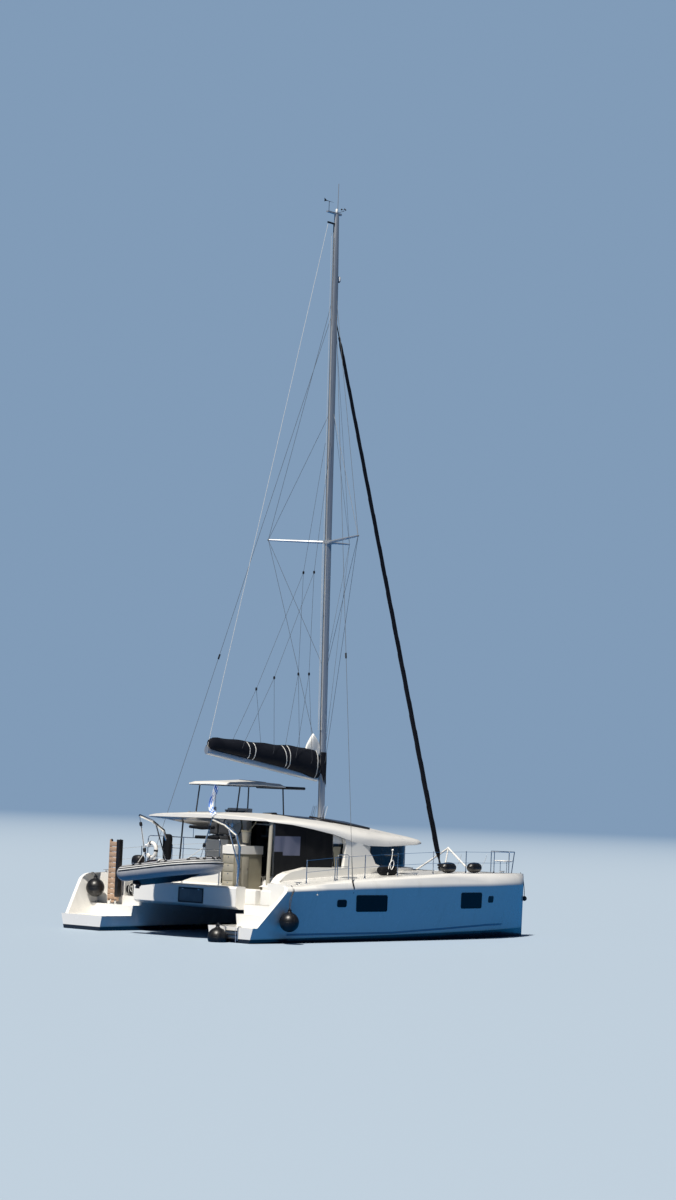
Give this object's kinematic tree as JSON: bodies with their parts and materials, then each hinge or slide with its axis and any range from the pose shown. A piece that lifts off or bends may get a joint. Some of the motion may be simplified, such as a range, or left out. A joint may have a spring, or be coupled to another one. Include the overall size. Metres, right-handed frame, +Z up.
{
  "type": "sailing catamaran",
  "caption": "Cruising sailing catamaran afloat: twin hulls under a bridgedeck saloon, helm under a bimini, boom with stowed sail, tender on davits and a folding gangway.",
  "frame": {"origin": "on the centreline, amidships, at the waterline", "axes": "+X towards the bows, +Y to port, +Z up"},
  "size_m": [13.4148, 7.975, 22.83],
  "materials": {
    "gelcoat": "glossy white gelcoat",
    "antifoul": "matt black antifouling",
    "bronze": "dull bronze",
    "dark_glass": "smoked glazing, nearly black",
    "alloy": "anodised, satin",
    "beige_trim": "beige vinyl",
    "steel": "polished stainless steel",
    "netting": "woven net",
    "canvas": "navy acrylic canvas",
    "tender_fabric": "grey coated fabric",
    "black_rubber": "smooth black",
    "teak": "oiled teak"
  },
  "bodies": {
    "root": {"hull_starboard": "gelcoat", "hull_port": "gelcoat", "bridgedeck": "gelcoat", "coaming": "gelcoat", "hardtop": "gelcoat", "hardtop_post_starboard": "gelcoat", "hardtop_post_port": "gelcoat", "saloon_side_starboard": "gelcoat", "saloon_side_port": "gelcoat", "saloon_front": "gelcoat", "side_wing_starboard": "gelcoat", "side_wing_port": "gelcoat", "saloon_bulkhead": "gelcoat", "cockpit_table": "gelcoat", "helm_station": "gelcoat", "helm_bimini": "gelcoat", "foredeck_walkway": "gelcoat", "keel_starboard": "antifoul", "keel_port": "antifoul", "saildrive_starboard": "antifoul", "saildrive_port": "antifoul", "glazing_side_starboard": "dark_glass", "glazing_side_port": "dark_glass", "glazing_front": "dark_glass", "door_rails": "alloy", "crossbeam": "alloy", "mast": "alloy", "spreaders": "alloy", "cockpit_bench": "beige_trim", "cockpit_locker": "beige_trim", "helm_seat": "beige_trim", "gangway_hinge": "steel", "diamond_stays_starboard": "steel", "diamond_stays_port": "steel", "shroud_starboard": "steel", "shroud_port": "steel", "davit_starboard": "steel", "davit_port": "steel", "guard_rail_starboard": "steel", "guard_rail_port": "steel", "trampoline_starboard": "netting", "trampoline_port": "netting", "rolled_headsail": "canvas", "cockpit_curtain": "canvas", "tender_tube": "tender_fabric", "tender_hull": "tender_fabric", "tender_outboard": "black_rubber", "ball_fender_side": "black_rubber", "ball_fender_stern_starboard": "black_rubber", "ball_fender_stern_port": "black_rubber"},
    "propeller_starboard": {"propeller_starboard": "bronze"},
    "propeller_port": {"propeller_port": "bronze"},
    "rudder_starboard": {"rudder_starboard": "antifoul"},
    "rudder_port": {"rudder_port": "antifoul"},
    "helm_wheel": {"helm_wheel": "steel"},
    "boom": {"boom": "alloy", "sail_bag": "canvas"},
    "sliding_door": {"sliding_door": "alloy"},
    "gangway": {"gangway": "teak"},
    "aft_locker_lid": {"aft_locker_lid": "dark_glass"}
  },
  "joints": [
    {"name": "helm_wheel_turn", "type": "hinge", "parent": "root", "child": "helm_wheel", "pos_m": [-2.33, 1.075, 2.95], "axis": [1, 0, 0], "range_deg": [-540, 540]},
    {"name": "rudder_starboard_turn", "type": "hinge", "parent": "root", "child": "rudder_starboard", "pos_m": [-5.3, -2.68, 0], "axis": [0, 0, 1], "range_deg": [-35, 35]},
    {"name": "rudder_port_turn", "type": "hinge", "parent": "root", "child": "rudder_port", "pos_m": [-5.3, 2.68, 0], "axis": [0, 0, 1], "range_deg": [-35, 35]},
    {"name": "propeller_starboard_spin", "type": "hinge", "parent": "root", "child": "propeller_starboard", "pos_m": [-4.35, -2.68, -0.82], "axis": [1, 0, 0], "continuous": true},
    {"name": "propeller_port_spin", "type": "hinge", "parent": "root", "child": "propeller_port", "pos_m": [-4.35, 2.68, -0.82], "axis": [1, 0, 0], "continuous": true},
    {"name": "boom_swing", "type": "hinge", "parent": "root", "child": "boom", "pos_m": [0.01, 0, 4.39], "axis": [0, 0, 1], "range_deg": [-40, 40]},
    {"name": "sliding_door_slide", "type": "slide", "parent": "root", "child": "sliding_door", "axis": [0, 1, 0], "range_m": [0, 0.88]},
    {"name": "gangway_fold", "type": "hinge", "parent": "root", "child": "gangway", "pos_m": [-5.2, 2.8, 0.74], "axis": [0, -1, 0], "range_deg": [0, 90]},
    {"name": "aft_locker_lid_open", "type": "hinge", "parent": "root", "child": "aft_locker_lid", "pos_m": [-5.348, -0.255, 1.282], "axis": [0, 1, 0], "range_deg": [0, 85]}
  ],
  "couplings": [
    {"joint": "rudder_starboard_turn", "follows": "helm_wheel_turn", "ratio": 0.064815},
    {"joint": "rudder_port_turn", "follows": "helm_wheel_turn", "ratio": 0.064815}
  ]
}
